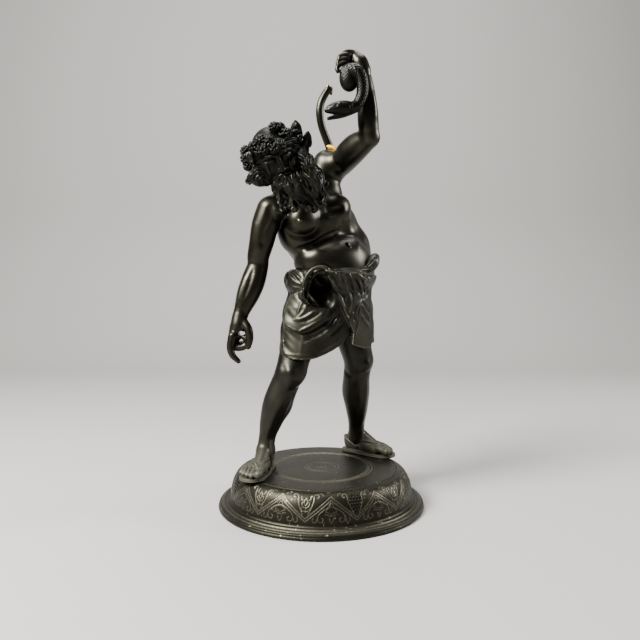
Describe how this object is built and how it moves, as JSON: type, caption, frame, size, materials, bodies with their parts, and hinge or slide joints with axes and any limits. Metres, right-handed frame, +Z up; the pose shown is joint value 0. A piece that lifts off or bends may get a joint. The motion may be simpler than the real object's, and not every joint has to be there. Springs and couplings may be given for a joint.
{
  "type": "silenus statuette",
  "caption": "Dark bronze statuette of a stout bearded man in a wreath and loincloth, raising a serpent, on a round drum base with an engraved side.",
  "frame": {"origin": "centre of the drum base's underside", "axes": "+Z up, the figure faces -Y, its raised left arm is on the +X side"},
  "size_m": [0.256, 0.256, 0.545],
  "materials": {
    "base_bronze": "dull olive-brown patinated bronze, worn paler along the engraved lines",
    "figure_bronze": "near-black patinated bronze with a soft wax gloss, greener at the ankles",
    "serpent_bronze": "near-black patinated bronze with chased scales",
    "tail_bronze": "dark patinated bronze, broken end, yellow solder at its root"
  },
  "bodies": {
    "root": {"base": "base_bronze", "figure": "figure_bronze", "serpent": "serpent_bronze", "serpent_tail": "tail_bronze"}
  },
  "joints": []
}
